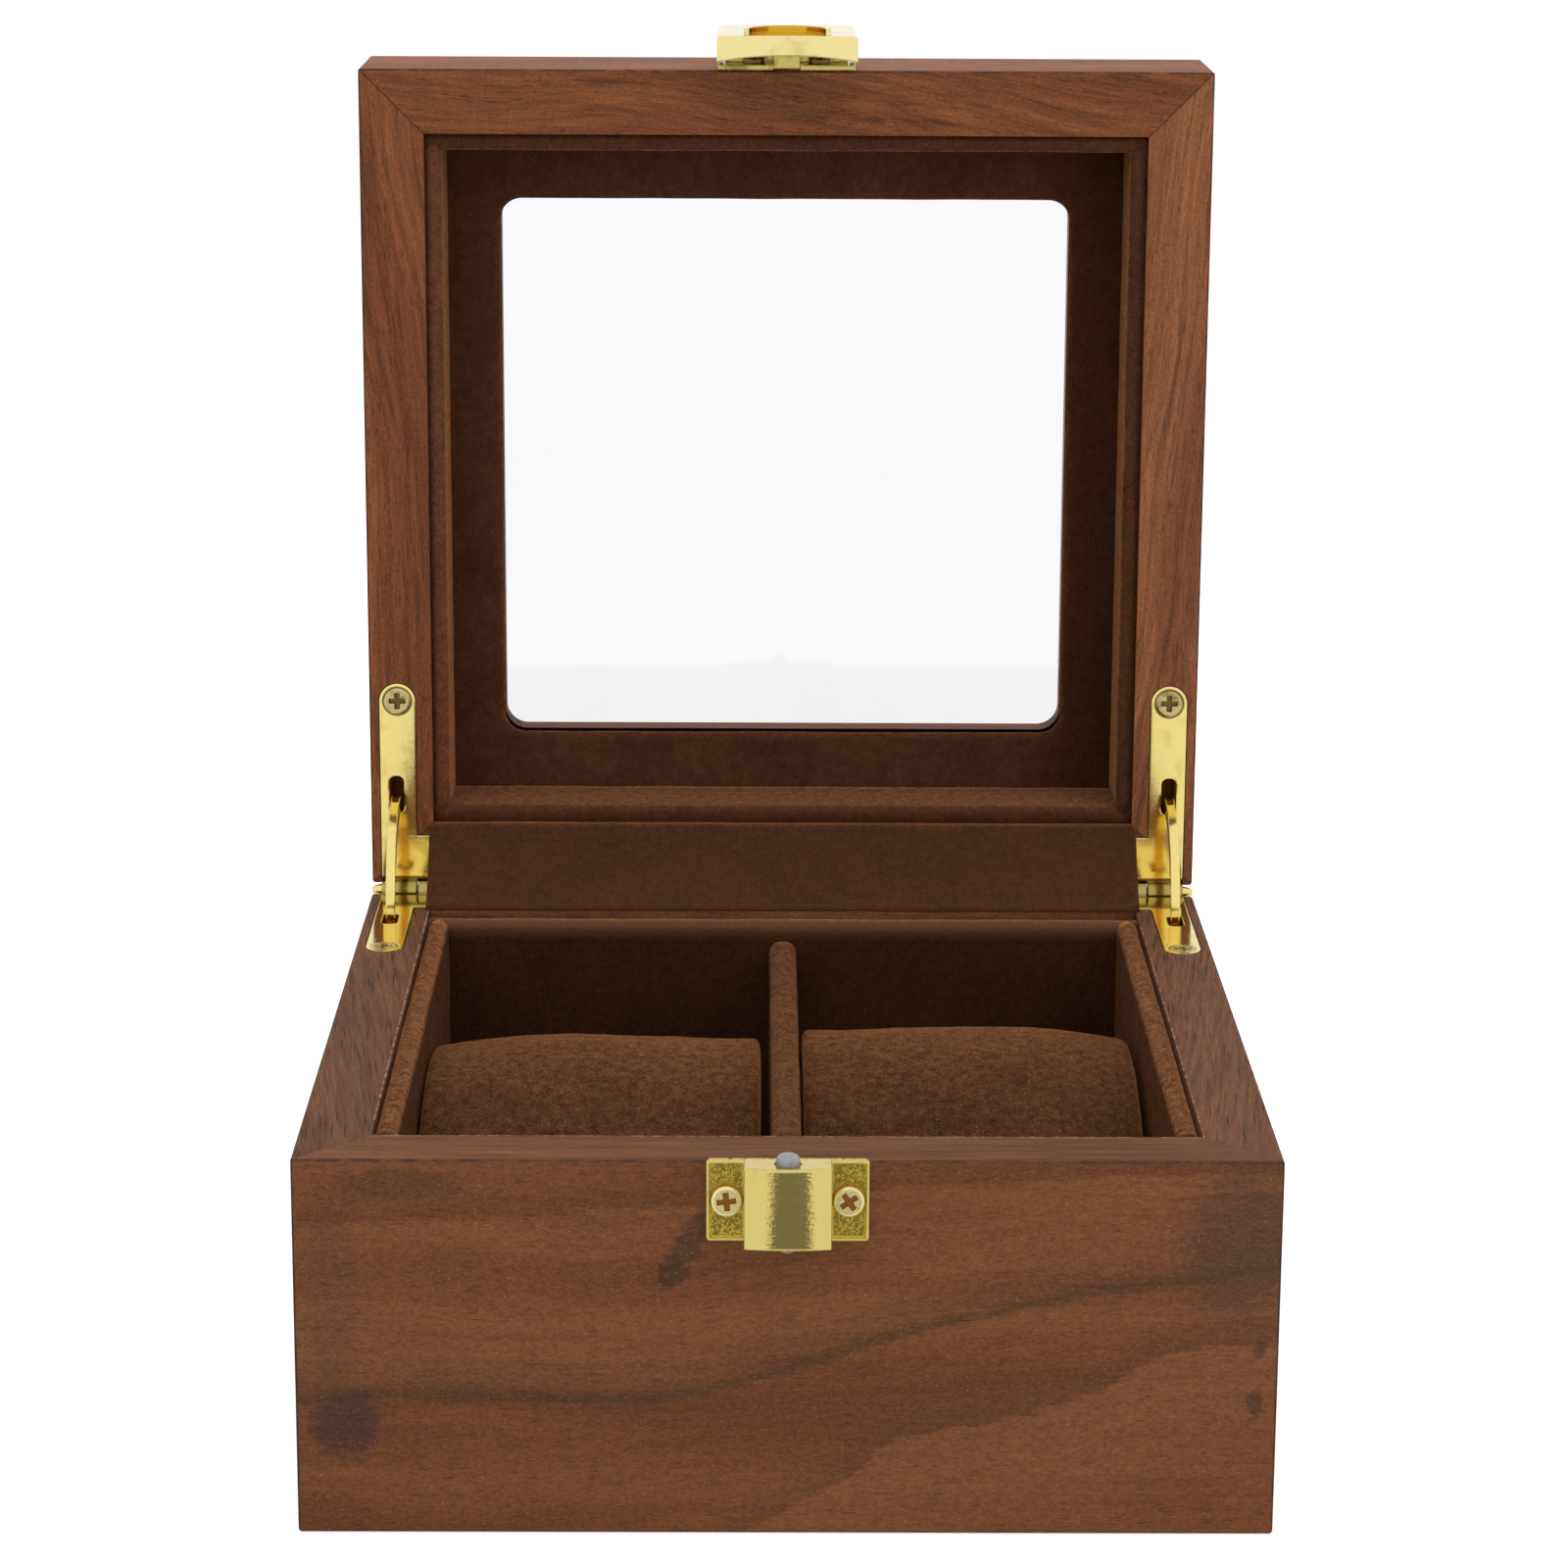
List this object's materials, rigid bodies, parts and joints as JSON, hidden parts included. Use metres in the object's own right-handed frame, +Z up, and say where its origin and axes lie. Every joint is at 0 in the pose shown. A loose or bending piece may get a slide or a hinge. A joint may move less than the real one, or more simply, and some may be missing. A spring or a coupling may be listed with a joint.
{
  "type": "watch box",
  "caption": "Small walnut watch box with a hinged window lid on gilt stay hinges, a sprung front latch, suede linings, a divider and loose suede watch cushions.",
  "frame": {"origin": "centre of the base's underside", "axes": "+Z up, +X to the right seen from the front, the latch and front wall face -Y, the lid stands open at the back"},
  "size_m": [0.13, 0.1562, 0.189],
  "materials": {
    "walnut": "satin",
    "board": "matte",
    "felt": "matte",
    "suede": "matte",
    "cushion_suede": "matte",
    "gilt": "polished",
    "steel": "satin",
    "spring_steel": "satin",
    "glass": "gloss"
  },
  "bodies": {
    "base": {"base_felt": "felt", "base_front_wall": "walnut", "base_left_wall": "walnut", "base_rear_wall": "walnut", "base_right_wall": "walnut", "bottom_panel": "board", "divider": "suede", "floor_lining": "suede", "hinge_base_leaf_left": "gilt", "hinge_base_leaf_right": "gilt", "hinge_base_screws": "gilt", "hinge_cover_cloth": "suede", "hinge_pin_left": "gilt", "hinge_pin_right": "gilt", "keeper_screws": "gilt", "latch_keeper": "gilt", "lining_front": "suede", "lining_left": "suede", "lining_rear": "suede", "lining_right": "suede", "plunger_spring": "spring_steel"},
    "lid": {"glass_pane": "glass", "hinge_lid_leaf_left": "gilt", "hinge_lid_leaf_right": "gilt", "hinge_lid_screws": "gilt", "latch_pivot_pin": "gilt", "latch_plate": "gilt", "latch_plate_screws": "gilt", "latch_spring": "spring_steel", "lid_frame_front": "walnut", "lid_frame_left": "walnut", "lid_frame_rear": "walnut", "lid_frame_right": "walnut", "lid_front_rail": "walnut", "lid_left_rail": "walnut", "lid_lining_front": "suede", "lid_lining_left": "suede", "lid_lining_rear": "suede", "lid_lining_right": "suede", "lid_rear_rail": "walnut", "lid_right_rail": "walnut", "window_mat": "suede"},
    "latch_lever": {"latch_lever": "gilt"},
    "plunger": {"plunger": "steel"},
    "stay_arm_left": {"stay_arm_left": "gilt"},
    "stay_arm_right": {"stay_arm_right": "gilt"},
    "cushion_left": {"cushion_left": "cushion_suede"},
    "cushion_right": {"cushion_right": "cushion_suede"}
  },
  "joints": [
    {"name": "lid_hinge", "type": "hinge", "parent": "base", "child": "lid", "pos_m": [0, 0.065, 0.0528], "axis": [-1, 0, 0], "range_deg": [-90, 0], "deforming": ["hinge_cover_cloth"]},
    {"name": "latch_lever_pivot", "type": "hinge", "parent": "lid", "child": "latch_lever", "pos_m": [0, 0.0719, 0.1848], "axis": [-1, 0, 0], "range_deg": [0, 35], "stiffness_Nm_per_rad": 0.01, "springref_deg": -17.19, "deforming": ["latch_spring"]},
    {"name": "plunger_press", "type": "slide", "parent": "base", "child": "plunger", "axis": [0, 0, 1], "range_m": [-0.0015, 0], "stiffness_N_per_m": 150, "springref_m": 0.003, "deforming": ["plunger_spring"]},
    {"name": "cushion_left_lift", "type": "slide", "parent": "base", "child": "cushion_left", "axis": [0, 0, 1], "range_m": [0, 0.06]},
    {"name": "cushion_right_lift", "type": "slide", "parent": "base", "child": "cushion_right", "axis": [0, 0, 1], "range_m": [0, 0.06]},
    {"name": "stay_arm_left_swing", "type": "hinge", "parent": "base", "child": "stay_arm_left", "pos_m": [0, 0.065, 0.0528], "axis": [-1, 0, 0], "range_deg": [-45, 0]},
    {"name": "stay_arm_right_swing", "type": "hinge", "parent": "base", "child": "stay_arm_right", "pos_m": [0, 0.065, 0.0528], "axis": [-1, 0, 0], "range_deg": [-45, 0]}
  ],
  "couplings": [
    {"joint": "stay_arm_left_swing", "follows": "lid_hinge", "ratio": 0.5},
    {"joint": "stay_arm_right_swing", "follows": "lid_hinge", "ratio": 0.5}
  ]
}
